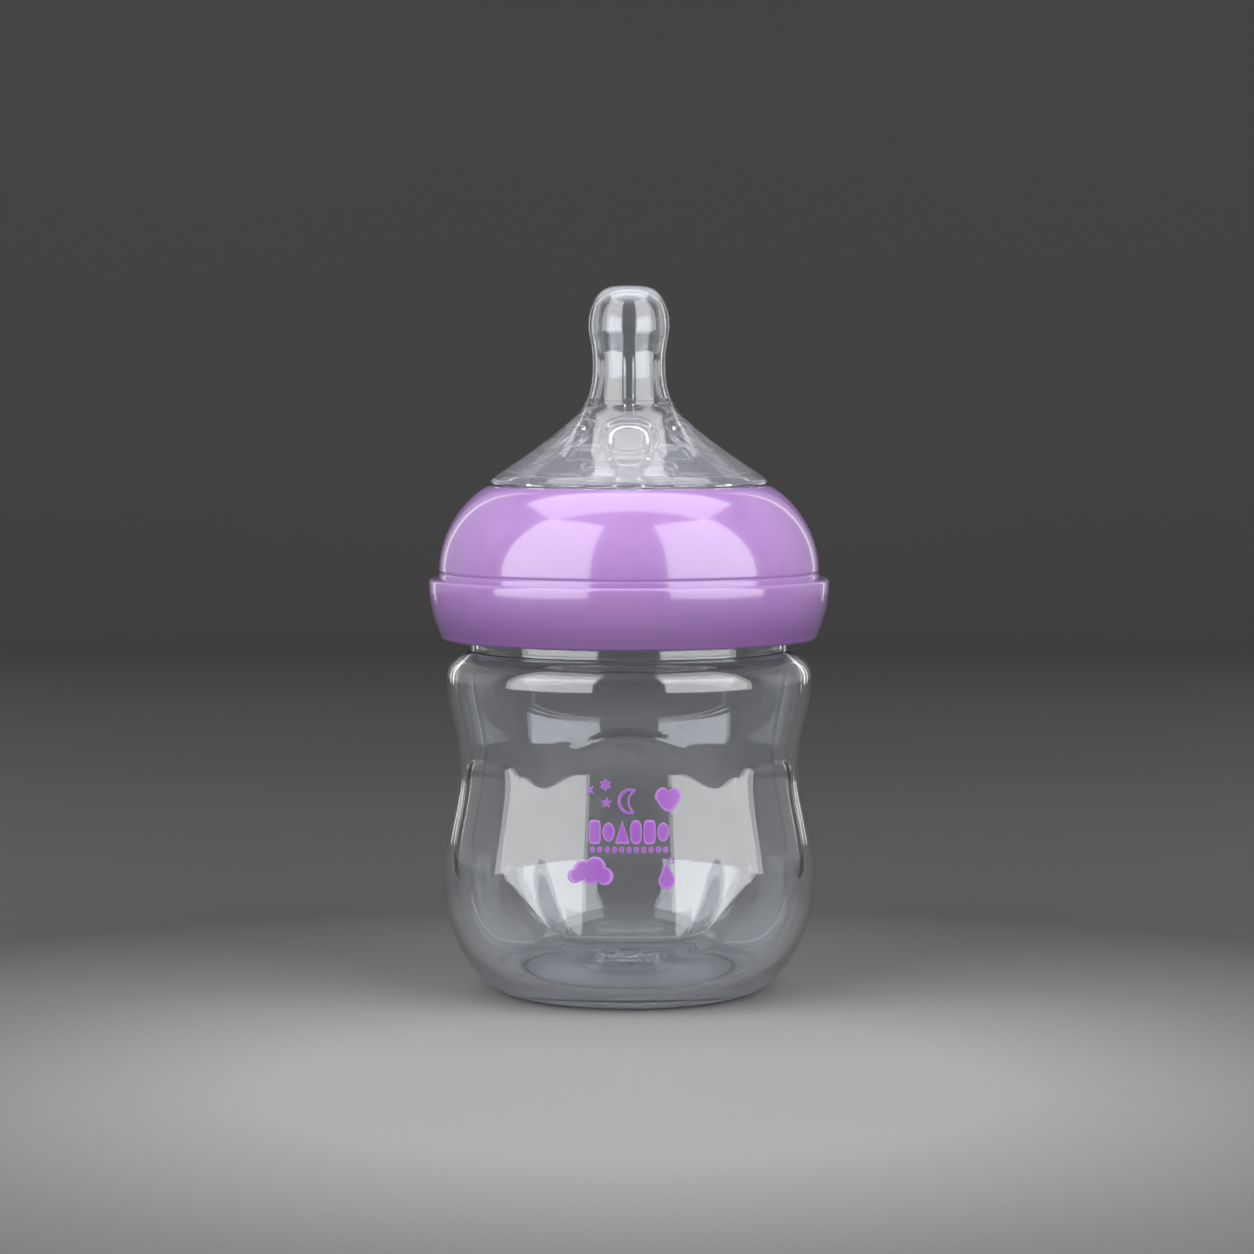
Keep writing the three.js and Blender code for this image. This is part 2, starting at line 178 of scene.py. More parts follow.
def mix(start, end, share):
    """The point that lies share of the way from start to end."""
    return start + (end - start) * share


def arc(centre, reach, start, end, steps=60):
    """Part of an ellipse: its centre plus its reaches times the cosine and the sine of an angle."""
    angle = np.linspace(start, end, steps)
    return np.column_stack([centre[0] + reach[0] * np.cos(angle), centre[1] + reach[1] * np.sin(angle)])


def sweep(start, end, steps=60):
    """A smooth S: height grows evenly and radius follows half a cosine wave."""
    share = np.linspace(0, 1, steps)
    radius = mix(start[0], end[0], (1 - np.cos(math.pi * share)) / 2)
    return np.column_stack([radius, mix(start[1], end[1], share)])


def marked(points, mark):
    """A stretch of profile with a third column, which says which side of the wall it is on."""
    points = np.atleast_2d(np.asarray(points, float))
    return np.column_stack([points, np.full(len(points), float(mark))])


def lengths(path):
    """Distance along a path at each of its points."""
    return np.concatenate([[0], np.cumsum(np.hypot(np.diff(path[:, 0]), np.diff(path[:, 1])))])


def picked(path, measure, spots):
    """The path's columns at given values of a measure that grows along it."""
    return np.column_stack([np.interp(spots, measure, column) for column in path.T])


def rounded(path, width, closed):
    """The path at even fine steps, each point replaced by a weighted mean of its neighbours within width,
    so that corners become small rounds. An open path starts and ends on the axis, and is mirrored there."""
    ring = np.vstack([path, path[:1]]) if closed else path
    length = lengths(ring)
    keep = np.concatenate([[True], np.diff(length) > 1e-9])
    dense = picked(ring[keep], length[keep], np.linspace(0, length[-1], int(length[-1] / FINE_STEP) + 1))
    half = max(1, int(width / FINE_STEP / 2))
    weights = np.hanning(2 * half + 3)[1:-1]
    weights = weights / weights.sum()
    if closed:
        dense = dense[:-1]
        padded = np.vstack([dense[-half:], dense, dense[:half]])
    else:
        across = np.array([-1] + [1] * (dense.shape[1] - 1))
        padded = np.vstack([dense[half:0:-1] * across, dense, dense[-2 : -half - 2 : -1] * across])
    return np.column_stack([np.convolve(column, weights, "valid") for column in padded.T])


def spaced(path, widest, closed, finer):
    """Points of a fine path, at most widest apart, closer where it bends, and no further apart than
    finer(path) says for each of its points."""
    ring = np.vstack([path, path[:1]]) if closed else path
    step = np.diff(ring[:, :2], axis=0)
    distance = np.hypot(step[:, 0], step[:, 1])
    heading = np.unwrap(np.arctan2(step[:, 1], step[:, 0]))
    bend = np.abs(np.gradient(heading)) / distance
    gap = np.clip(TURN_PER_ROW / np.maximum(bend, 1e-6), CLOSEST_ROWS, widest)
    gap = np.minimum(gap, finer((ring[1:] + ring[:-1]) / 2))
    window = np.hanning(2 * SPREAD + 1)
    density = np.convolve(np.pad(1 / gap, SPREAD, mode="edge"), window / window.sum(), "valid")
    rows = np.concatenate([[0], np.cumsum(distance * density)])
    return picked(ring, rows, np.linspace(0, rows[-1], int(math.ceil(rows[-1])) + 1))


def normals_along(rows):
    """Unit directions out of the wall at each row of a closed path, in radius and height: the path's
    heading, turned clockwise by a quarter turn."""
    ring = np.vstack([rows[-1:], rows, rows[:1]])
    heading = ring[2:, :2] - ring[:-2, :2]
    heading = heading / np.hypot(heading[:, 0], heading[:, 1])[:, None]
    return np.column_stack([heading[:, 1], -heading[:, 0]])


def new_mesh(name, points, faces, material, values=None):
    """An object at the origin whose mesh has these points, in mm, and faces. values is one number for
    each point, kept as the attribute edge_share."""
    mesh = bpy.data.meshes.new(name)
    mesh.from_pydata((points * MM).tolist(), [], faces)
    mesh.materials.append(material)
    if values is not None:
        edge_share = mesh.attributes.new("edge_share", "FLOAT", "POINT")
        edge_share.data.foreach_set("value", values.astype(np.float32))
    mesh.shade_smooth()
    mesh.update()
    piece = bpy.data.objects.new(name, mesh)
    bpy.context.scene.collection.objects.link(piece)
    return piece


def around_axis(radius, azimuth, height):
    """Points in space from a radius, an azimuth that is 0 at the front, and a height."""
    radius, azimuth, height = np.broadcast_arrays(radius, azimuth, height)
    return np.stack([radius * np.sin(azimuth), -radius * np.cos(azimuth), height], axis=-1)


def quads(rows, columns, first=0, closed=False):
    """The faces between neighbouring points of a grid of rings that is stored ring by ring. A closed grid
    joins its last ring to its first."""
    index = first + np.arange(rows * columns).reshape(rows, columns)
    if closed:
        index = np.vstack([index, index[:1]])
    index = np.hstack([index, index[:, :1]])
    faces = [index[:-1, :-1], index[:-1, 1:], index[1:, 1:], index[1:, :-1]]
    return np.stack(faces, axis=-1).reshape(-1, 4).tolist()


def shell(grid, poles=None, first=0):
    """The points and faces of a surface whose grid is a row of rings. With two poles it ends in a cap of
    triangles round each of them; without, its last ring joins its first."""
    rows, columns = grid.shape[:2]
    points = grid.reshape(-1, 3)
    faces = quads(rows, columns, first, closed=poles is None)
    if poles is not None:
        ring = np.arange(columns)
        after = np.roll(ring, -1)
        start, end = first + len(points), first + len(points) + 1
        last = first + (rows - 1) * columns
        faces += np.column_stack([np.full(columns, start), first + after, first + ring]).tolist()
        faces += np.column_stack([last + ring, last + after, np.full(columns, end)]).tolist()
        points = np.vstack([points, poles])
    return points, faces


def turned(name, path, columns, material, relief, widest, closed, finer):
    """A profile carried round the axis. Each point of the grid is the profile's radius and height, moved
    by relief(azimuth, rows), and a profile that is not closed starts and ends on the axis."""
    rows = spaced(path, widest, closed, finer)
    rows = rows[:-1] if closed else rows[1:-1]
    azimuth = np.arange(columns) / columns * FULL_TURN
    azimuth = np.where(azimuth > math.pi, azimuth - FULL_TURN, azimuth)[None, :]
    moved = relief(azimuth, rows)
    grid = around_axis(rows[:, :1] + moved[0], azimuth, rows[:, 1:2] + moved[1])
    poles = None if closed else [[0, 0, path[0, 1]], [0, 0, path[-1, 1]]]
    points, faces = shell(grid, poles)
    return new_mesh(name, points, faces, material)


# ---------------------------------------------------------------- materials


class Value:
    """A number in a material's node tree. Adding to it and multiplying it add the Math nodes that do so."""

    def __init__(self, finish, socket):
        self.finish = finish
        self.socket = socket

    def maths(self, operation, first, second):
        return self.finish.add("ShaderNodeMath", {"operation": operation}, {0: first, 1: second})

    def __add__(self, other):
        return self.maths("ADD", self, other)

    def __radd__(self, other):
        return self.maths("ADD", other, self)

    def __mul__(self, other):
        return self.maths("MULTIPLY", self, other)

    def __rmul__(self, other):
        return self.maths("MULTIPLY", other, self)


class Finish:
    """A material and the nodes in it."""

    def __init__(self, name):
        self.material = bpy.data.materials.new(name)
        self.material.use_nodes = True
        self.tree = self.material.node_tree
        self.tree.nodes.clear()

    def add(self, kind, settings=None, inputs=None, output=0):
        """A node of a type, with its settings made first and then its sockets set or linked. Returns one
        of its outputs as a Value."""
        node = self.tree.nodes.new(kind)
        for name, setting in (settings or {}).items():
            if name == "stops":
                self.set_stops(node, setting)
            else:
                setattr(node, name, setting)
        for name, value in (inputs or {}).items():
            if isinstance(value, Value):
                self.tree.links.new(value.socket, node.inputs[name])
            else:
                node.inputs[name].default_value = value
        return Value(self, node.outputs[output]) if len(node.outputs) else node

    def set_stops(self, node, stops):
        """A colour ramp's stops, as places and colours."""
        elements = node.color_ramp.elements
        while len(elements) < len(stops):
            elements.new(1.0)
        for element, (place, colour) in zip(elements, stops):
            element.position = place
            element.color = colour

    def ramp(self, factor, *stops):
        """A colour that runs through the stops as factor goes from 0 to 1."""
        return self.add("ShaderNodeValToRGB", {"stops": stops}, {"Fac": factor})

    def place(self):
        """Where a point of the piece is, in metres."""
        return self.add("ShaderNodeTexCoord", output="Object")

    def noise(self, scale, detail=2.0, roughness=0.5, stretch=(1, 1, 1)):
        """Smooth random values from 0 to 1, with scale lumps to the metre."""
        spot = self.add("ShaderNodeMapping", {}, {"Vector": self.place(), "Scale": stretch})
        inputs = {"Vector": spot, "Scale": scale, "Detail": detail, "Roughness": roughness}
        return self.add("ShaderNodeTexNoise", {}, inputs)

    def bump(self, height, strength, distance):
        """A normal that follows small hills and hollows."""
        inputs = {"Height": height, "Strength": strength, "Distance": distance}
        return self.add("ShaderNodeBump", {}, inputs)

    def rise(self, low, high, first, last):
        """A number that goes smoothly from first to last between two heights, in mm."""
        up = self.add("ShaderNodeSeparateXYZ", {}, {0: self.place()}, output="Z")
        inputs = {"Value": up, "From Min": low * MM, "From Max": high * MM, "To Min": first, "To Max": last}
        return self.add("ShaderNodeMapRange", {"interpolation_type": "SMOOTHSTEP"}, inputs)

    def cover(self, surface):
        """The material, with the shader that covers its surface."""
        self.add("ShaderNodeOutputMaterial", {}, {"Surface": surface})
        return self.material

    def shader(self, inputs):
        """The material, covered by one Principled shader."""
        return self.cover(self.add("ShaderNodeBsdfPrincipled", {}, inputs))

    def clouded(self, inputs, cloud, share):
        """The material, covered by a clear Principled shader of which a share is clouded by a plain pale
        one with the same small hills and hollows."""
        clear = self.add("ShaderNodeBsdfPrincipled", {}, inputs)
        plain = {"Base Color": cloud, "Roughness": 0.3, "Normal": inputs["Normal"]}
        pale = self.add("ShaderNodeBsdfPrincipled", {}, plain)
        return self.cover(self.add("ShaderNodeMixShader", {}, {0: share, 1: clear, 2: pale}))


def clear_plastic():
    """Clear moulded plastic: polished, with a faint cool tint, the slight waviness of a blown wall, and a
    little pale cloud in the heel and floor, painted light that stands in for light carried in the thick
    plastic."""
    finish = Finish("clear_polished_plastic")
    wave = finish.noise(55, detail=1.0, stretch=(1, 1, 0.35))
    flow = finish.noise(260, detail=3.0)
    colour = finish.ramp(flow, (0.3, (0.93, 0.952, 0.985, 1)), (0.7, (0.955, 0.973, 0.998, 1)))
    height = wave * 0.8 + flow * 0.2
    # painted light: a pale cloud mixed in at the heel and over the floor, standing in for light carried
    # through the thick plastic there
    heel = finish.rise(0.2, 2.2, 0.5, 0.0)
    base = finish.rise(2, 14, 0.045, 0.0)
    inputs = {
        "Base Color": colour,
        "Roughness": 0.012,
        "IOR": 1.53,
        "Transmission Weight": 0.98,
        "Normal": finish.bump(height, 0.12, 0.00012),
    }
    return finish.clouded(inputs, (0.72, 0.74, 0.79, 1), heel + base)


def silicone():
    """Clear silicone: polished, a little milky at the foot of the flare, pale at the tip as a painted
    highlight, with fine flow marks from its mould."""
    finish = Finish("soft_clear_silicone")
    haze = finish.noise(180, detail=3.0)
    fine = finish.noise(1400, detail=2.0)
    colour = finish.ramp(haze, (0.3, (0.90, 0.925, 0.965, 1)), (0.7, (0.945, 0.96, 0.985, 1)))
    inputs = {
        "Base Color": colour,
        "Roughness": 0.025,
        "IOR": 1.44,
        "Specular IOR Level": 1.0,
        "Transmission Weight": 0.975,
        "Coat Weight": 0.4,
        "Coat Roughness": 0.02,
        "Normal": finish.bump(haze * 0.75 + fine * 0.25, 0.15, 0.00012),
    }
    flare = finish.rise(BEAD_FOOT + 3, BEAD_FOOT + 15, 0.08, 0.0)
    # painted highlight: a pale cloud on the tip's top, standing in for the overhead softbox's reflection
    # there
    tip = finish.rise(TIP_HEIGHT - 3.6, TIP_HEIGHT - 1.2, 0.0, 0.2)
    return finish.clouded(inputs, (0.78, 0.79, 0.87, 1), flare + tip)


def lilac_plastic():
    """Glossy lilac plastic: a colour with faint cloudiness from moulding, darkened by painted shade towards
    the foot of the band, and a polish that varies a little with the mould's flow and grain."""
    finish = Finish("glossy_lilac_plastic")
    cloud = finish.noise(70, detail=3.0)
    grain = finish.noise(2600, detail=2.0)
    flow = finish.noise(330, detail=4.0, roughness=0.6)
    colour = finish.ramp(
        cloud * 0.7 + flow * 0.3,
        (0.3, (0.298, 0.166, 0.400, 1)),
        (0.5, (0.322, 0.182, 0.424, 1)),
        (0.7, (0.345, 0.198, 0.446, 1)),
    )
    # painted shade: the colour is mixed towards a dark purple down the band to its foot, standing in for the
    # shade on the band's down-facing taper
    depth = finish.rise(BAND_FOOT, LEDGE_HEIGHT + 1, 0.95, 0.1)
    painted_shade_colour = (0.165, 0.074, 0.235, 1)
    colour = finish.add("ShaderNodeMix", {"data_type": "RGBA"}, {0: depth, 6: colour, 7: painted_shade_colour}, output=2)
    height = flow * 0.6 + grain * 0.4
    return finish.shader(
        {
            "Base Color": colour,
            "Roughness": 0.10 + flow * 0.08 + grain * 0.04,
            "IOR": 1.5,
            "Coat Weight": 0.6,
            "Coat Roughness": 0.05,
            "Normal": finish.bump(height, 0.1, 0.00008),
        }
    )


def printing_ink():
    """Purple ink, laid thick: paler along its rim, with a slight orange-peel gloss."""
    finish = Finish("purple_printing_ink")
    rim = finish.add("ShaderNodeAttribute", {"attribute_name": "edge_share"}, output="Fac")
    fleck = finish.noise(3000, detail=2.0)
    colour = finish.ramp(
        rim + fleck * 0.06,
        (0.0, (0.235, 0.075, 0.345, 1)),
        (0.8, (0.245, 0.08, 0.36, 1)),
        (0.93, (0.37, 0.18, 0.50, 1)),
        (1.0, (0.30, 0.12, 0.42, 1)),
    )
    return finish.shader(
        {
            "Base Color": colour,
            "Roughness": 0.28 + fleck * 0.1,
            "Normal": finish.bump(fleck, 0.15, 0.00004),
        }
    )


# the middle of a painted pool of light on the floor
PAINTED_POOL_MIDDLE = (0, -0.085, 0)  # in metres, on the floor in front of the bottle


def studio_paper():
    """Paper with a painted pool of light: palest in front of the bottle, and greyer away from there."""
    finish = Finish("studio_paper_with_painted_light_pool")
    away = finish.add("ShaderNodeVectorMath", {"operation": "SUBTRACT"}, {0: finish.place(), 1: PAINTED_POOL_MIDDLE})
    distance = finish.add("ShaderNodeVectorMath", {"operation": "LENGTH"}, {0: away}, output="Value")
    fibre = finish.noise(900, detail=4.0)
    # painted pool of light: the paper is palest round the spot in front of the bottle and darkens outwards,
    # standing in for light falling off; it lightens a little again towards the wall
    colour = finish.ramp(
        distance + fibre * 0.01,
        (0.06, (0.23, 0.23, 0.23, 1)),
        (0.12, (0.12, 0.12, 0.12, 1)),
        (0.19, (0.045, 0.045, 0.045, 1)),
        (0.50, (0.05, 0.05, 0.05, 1)),
        (1.00, (0.08, 0.08, 0.08, 1)),
    )
    grain = finish.bump(fibre, 0.1, 0.0002)
    return finish.shader({"Base Color": colour, "Roughness": 0.85, "Normal": grain})


# ---------------------------------------------------------------- the clear body


def rounded_box(across, up, half_width, half_height, corner):
    """Distance to the edge of a rounded rectangle, negative inside it."""
    past_side = np.abs(across) - half_width + corner
    past_top = np.abs(up) - half_height + corner
    outside = np.hypot(np.maximum(past_side, 0), np.maximum(past_top, 0))
    return outside + np.minimum(np.maximum(past_side, past_top), 0) - corner


def wall_radius(height):
    """The outside radius of the bare wall at a height between the stand ring and the shoulder."""
    heel = BELLY_RADIUS - STAND_RING_OUTER
    below = np.clip((BELLY_HEIGHT - height) / BELLY_HEIGHT, 0, 1)
    to_waist = np.clip((height - BELLY_HEIGHT) / (WAIST_HEIGHT - BELLY_HEIGHT), 0, 1)
    to_shoulder = np.clip((height - WAIST_HEIGHT) / (SHOULDER_HEIGHT - WAIST_HEIGHT), 0, 1)
    radius = STAND_RING_OUTER + heel * np.sqrt(1 - below**2)
    radius = radius - (BELLY_RADIUS - WAIST_RADIUS) * (1 - np.cos(math.pi * to_waist)) / 2
    return radius + (SHOULDER_RADIUS - WAIST_RADIUS) * (1 - np.cos(math.pi * to_shoulder)) / 2


def dish_depth(across, height):
    """How far the dish is drawn in: below the waist its face is a straight line that leans in a little, it
    is flatter across than the wall, and it stops where it would come out in front of the wall."""
    straight = wall_radius(height) - (WAIST_RADIUS - DISH_DEPTH) - (WAIST_HEIGHT - height) * DISH_SLOPE
    middle = mix(straight, DISH_DEPTH, smooth(height, DISH_BEND_FROM, DISH_BEND_TO))
    depth = middle - across**2 / 2 * (1 / WAIST_RADIUS - 1 / DISH_FACE_RADIUS)
    return (depth + np.hypot(depth, DISH_ROUND)) / 2


def body_relief(azimuth, height, radius):
    """How far the wall is moved outwards: a round dish is drawn in at the front, with an edge that is
    softer at its sides than above and below, and four grip pads stand out at the sides."""
    across = np.where(np.cos(azimuth) > 0, radius * np.sin(azimuth), radius)
    from_dish = np.hypot(across, height - DISH_HEIGHT)
    upright = ((height - DISH_HEIGHT) / np.maximum(from_dish, 1)) ** 2
    flat_radius = mix(DISH_FLAT_SIDE, DISH_FLAT_RADIUS, upright)
    dish = dish_depth(across, height) * within(from_dish, flat_radius, DISH_RADIUS)
    from_face = np.arctan2(np.abs(np.sin(azimuth)), np.abs(np.cos(azimuth)))
    edge = rounded_box(
        (from_face - (PAD_FROM + PAD_TO) / 2) * radius,
        height - (PAD_LOW + PAD_HIGH) / 2,
        (PAD_TO - PAD_FROM) / 2 * radius,
        (PAD_HIGH - PAD_LOW) / 2,
        PAD_CORNER,
    )
    return PAD_RELIEF * within(edge, -PAD_EDGE) - dish


def thread_relief(azimuth, height, foot):
    """The height of a screw thread's ridge, as a share of the whole: a trapezium with softened corners
    round a right-hand helix that starts at +X and winds down, with both its ends fading into the wall."""
    turn = np.mod(QUARTER_TURN - azimuth, FULL_TURN)
    ridge = np.zeros(np.broadcast(azimuth, height).shape)
    for lap in (0, 1):
        angle = turn + lap * FULL_TURN
        middle = foot + THREAD_PITCH * (THREAD_LENGTH - angle) / FULL_TURN
        rise = smooth(np.minimum(angle, THREAD_LENGTH - angle), 0, THREAD_FADE)
        flank = (THREAD_ROOT_HALF - np.abs(height - middle)) / (THREAD_ROOT_HALF - THREAD_CREST_HALF)
        flank = np.clip(flank, 0, 1)
        ridge = np.maximum(ridge, rise * mix(flank, smooth(flank, 0, 1), 0.5))
    return ridge


def body_path():
    """The body's wall from under the middle of the base, up the outside, over the rim and down the
    inside. It is marked 1 where the thread stands, -1 on the inside and 0 elsewhere."""
    shoulder_centre = SHOULDER_RADIUS - SHOULDER_REACH
    bead_radius = NECK_RADIUS + NECK_BEAD
    bead_top = NECK_FOOT + NECK_BEAD_HEIGHT
    bead_angle = math.acos((bead_radius - shoulder_centre) / SHOULDER_REACH)
    neck_inner = NECK_RADIUS - NECK_WALL
    heel = BELLY_RADIUS - STAND_RING_OUTER
    inner_heel = (heel - BODY_WALL, BELLY_HEIGHT - FLOOR_THICKNESS)
    share = np.linspace(0, 1, 60)
    punt = np.column_stack([STAND_RING_INNER * share, PUNT_RISE * (1 + np.cos(math.pi * share)) / 2])
    outside = [
        punt,
        arc((STAND_RING_OUTER, BELLY_HEIGHT), (heel, BELLY_HEIGHT), -QUARTER_TURN, 0),
        sweep((BELLY_RADIUS, BELLY_HEIGHT), (WAIST_RADIUS, WAIST_HEIGHT)),
        sweep((WAIST_RADIUS, WAIST_HEIGHT), (SHOULDER_RADIUS, SHOULDER_HEIGHT)),
        arc((shoulder_centre, SHOULDER_HEIGHT), (SHOULDER_REACH, SHOULDER_RISE), 0, bead_angle),
        [(bead_radius, bead_top), (NECK_RADIUS, bead_top + NECK_BEAD)],
    ]
    neck = [(NECK_RADIUS, bead_top + NECK_BEAD + 0.2), (NECK_RADIUS, NECK_TOP - RIM_BEVEL - 0.2)]
    rim = [(NECK_RADIUS, NECK_TOP - RIM_BEVEL), (NECK_RADIUS - RIM_BEVEL, NECK_TOP), (neck_inner, NECK_TOP)]
    reach = (SHOULDER_RADIUS - BODY_WALL - neck_inner, SHOULDER_RISE - BODY_WALL / 2)
    inside = [
        arc((neck_inner, SHOULDER_HEIGHT), reach, QUARTER_TURN, 0),
        sweep((SHOULDER_RADIUS - BODY_WALL, SHOULDER_HEIGHT), (WAIST_RADIUS - BODY_WALL, WAIST_HEIGHT)),
        sweep((WAIST_RADIUS - BODY_WALL, WAIST_HEIGHT), (BELLY_RADIUS - BODY_WALL, BELLY_HEIGHT)),
        arc((STAND_RING_OUTER, BELLY_HEIGHT), inner_heel, 0, -QUARTER_TURN),
        [(0, PUNT_RISE + FLOOR_THICKNESS)],
    ]
    stretches = [marked(part, 0) for part in outside]
    stretches += [marked(neck, 1), marked(rim, 0)]
    stretches += [marked(part, -1) for part in inside]
    return np.vstack(stretches)


def clear_body(material):
    """The body as one closed wall, with the gate's knob and ring under its floor and on it. Also gives the
    outside's profile, from the stand ring to the shoulder."""
    path = rounded(body_path(), 0.7, closed=False)
    radius = path[:, 0]
    ring = GATE_RING_HEIGHT * within(np.abs(radius - GATE_RING_RADIUS), 0.1, GATE_RING_HALF_WIDTH)
    gate = ring + GATE_HEIGHT * within(radius, GATE_RADIUS - 1.2, GATE_RADIUS)
    under_floor = path[:, 1] < PUNT_RISE + 0.1
    path[:, 1] += gate * np.where(under_floor, -1, GATE_SHARE_INSIDE)

    def relief(azimuth, rows):
        radius, height, side = rows[:, :1], rows[:, 1:2], rows[:, 2:3]
        ridge = THREAD_HEIGHT * thread_relief(azimuth, height, NECK_THREAD_FOOT) * np.clip(side, 0, 1)
        out = body_relief(azimuth, height, radius) + ridge
        return out, np.zeros_like(out)

    def finer(points):
        in_thread = (points[:, 2] > 0.5) & (points[:, 1] < NECK_THREAD_FOOT + THREAD_RISE)
        return np.where(in_thread, 0.3, UNLIMITED)

    piece = turned("clear_body", path, 224, material, relief, widest=0.62, closed=False, finer=finer)
    outside = path[:, 2] > -0.01
    outer = path[outside & (path[:, 1] < SHOULDER_HEIGHT) & (radius > STAND_RING_OUTER)]
    return piece, outer


# ---------------------------------------------------------------- the screw collar


def collar_path():
    """The collar's wall from its foot up the tapered band, over the ledge, the step and the dome to the
    lip, and back down the seat and the bore. It is marked 1 where the thread stands."""
    share = np.linspace(0, 1, 80)
    band = np.column_stack(
        [
            BAND_RADIUS - BAND_TAPER * (1 - share) ** BAND_TAPER_POWER,
            mix(BAND_FOOT + EDGE_ROUND, LEDGE_HEIGHT - EDGE_ROUND, share),
        ]
    )
    rim_centre = (BAND_RADIUS - EDGE_ROUND, LEDGE_HEIGHT - EDGE_ROUND)
    foot_centre = (BAND_RADIUS - BAND_TAPER - EDGE_ROUND, BAND_FOOT + EDGE_ROUND)
    round_edge = (EDGE_ROUND, EDGE_ROUND)
    up = np.sin(np.linspace(0, QUARTER_TURN, 120))
    dome_radius = mix(DOME_TOP_RADIUS, DOME_FOOT_RADIUS, (1 - up**2) ** DOME_POWER)
    step_top = LEDGE_HEIGHT + STEP_HEIGHT
    dome = np.column_stack([dome_radius, mix(step_top, LIP_TOP, up)])
    groove_foot = LEDGE_HEIGHT - LEDGE_GROOVE
    groove = [(LEDGE_GROOVE_RADIUS, LEDGE_HEIGHT), (LEDGE_GROOVE_RADIUS - 0.2, groove_foot)]
    step = [(DOME_FOOT_RADIUS, groove_foot), (DOME_FOOT_RADIUS, step_top - 1.5 * STEP_NOTCH)]
    notch = [(DOME_FOOT_RADIUS - STEP_NOTCH, step_top - STEP_NOTCH - 0.05)]
    seat = [(LIP_RADIUS, LIP_TOP), (LIP_RADIUS, LIP_FOOT), (SEAT_RADIUS, LIP_FOOT), (BORE_RADIUS, BORE_TOP)]
    outside = [
        arc(foot_centre, round_edge, -QUARTER_TURN, 0, 12),
        band,
        arc(rim_centre, round_edge, 0, QUARTER_TURN, 16),
        groove,
        step,
        notch,
        dome,
        seat,
    ]
    bore = [(BORE_RADIUS, BORE_TOP - 0.3), (BORE_RADIUS, BAND_FOOT + EDGE_ROUND + 0.2)]
    foot = [(BORE_RADIUS, BAND_FOOT + EDGE_ROUND), (BORE_RADIUS + EDGE_ROUND, BAND_FOOT)]
    return np.vstack([marked(part, 0) for part in outside] + [marked(bore, 1), marked(foot, 0)])


def screw_collar(material):
    """The collar as one closed ring, with its thread standing in from the bore."""

    def relief(azimuth, rows):
        height, side = rows[:, 1:2], rows[:, 2:3]
        out = -THREAD_HEIGHT * thread_relief(azimuth, height, COLLAR_THREAD_FOOT) * side
        return out, np.zeros_like(out)

    def finer(points):
        in_thread = (points[:, 2] > 0.5) & (points[:, 1] < COLLAR_THREAD_FOOT + THREAD_RISE)
        return np.where(in_thread, 0.35, UNLIMITED)

    path = rounded(collar_path(), 0.3, closed=True)
    return turned("screw_collar_shell", path, 256, material, relief, widest=0.5, closed=True, finer=finer)


# ---------------------------------------------------------------- the teat


def spline(points, steps):
    """A Catmull-Rom curve through the points, each stretch a cubic that leaves a point along the line
    between its neighbours."""
    points = np.asarray(points, float)
    padded = np.vstack([points[:1], points, points[-1:]])
    place = np.linspace(0, len(points) - 1, steps)
    first = np.minimum(place.astype(int), len(points) - 2)
    t = (place - first)[:, None]
    a, b, c, d = (padded[first + k] for k in range(4))
    leave = (c - a) / 2
    arrive = (d - b) / 2
    cubic = 2 * b - 2 * c + leave + arrive
    square = 3 * c - 3 * b - 2 * leave - arrive
    return cubic * t**3 + square * t**2 + leave * t + b


def teat_curve():
    """The teat's outside from its bead to its tip."""

    def on_flare(radius_share, height_share):
        return mix(STEM_RADIUS, BEAD_RADIUS, radius_share), BEAD_FOOT + FLARE_HEIGHT * height_share

    points = [
        on_flare(0.94, 0.08),
        on_flare(0.6, 0.3),
        on_flare(0.3, 0.52),
        on_flare(0.11, 0.7),
        on_flare(0.025, 0.89),
        (STEM_RADIUS, mix(STEM_TOP, BULB_HEIGHT, 0.25)),
        (mix(STEM_RADIUS, BULB_RADIUS, 0.4), mix(STEM_TOP, BULB_HEIGHT, 0.65)),
        (BULB_RADIUS, BULB_HEIGHT),
        (BULB_RADIUS * 0.93, mix(BULB_HEIGHT, TIP_HEIGHT, 0.48)),
        (BULB_RADIUS * 0.7, mix(BULB_HEIGHT, TIP_HEIGHT, 0.84)),
        (BULB_RADIUS * 0.42, mix(BULB_HEIGHT, TIP_HEIGHT, 0.975)),
        (TIP_HOLE_RADIUS, TIP_HEIGHT),
    ]
    return spline(points, 400)


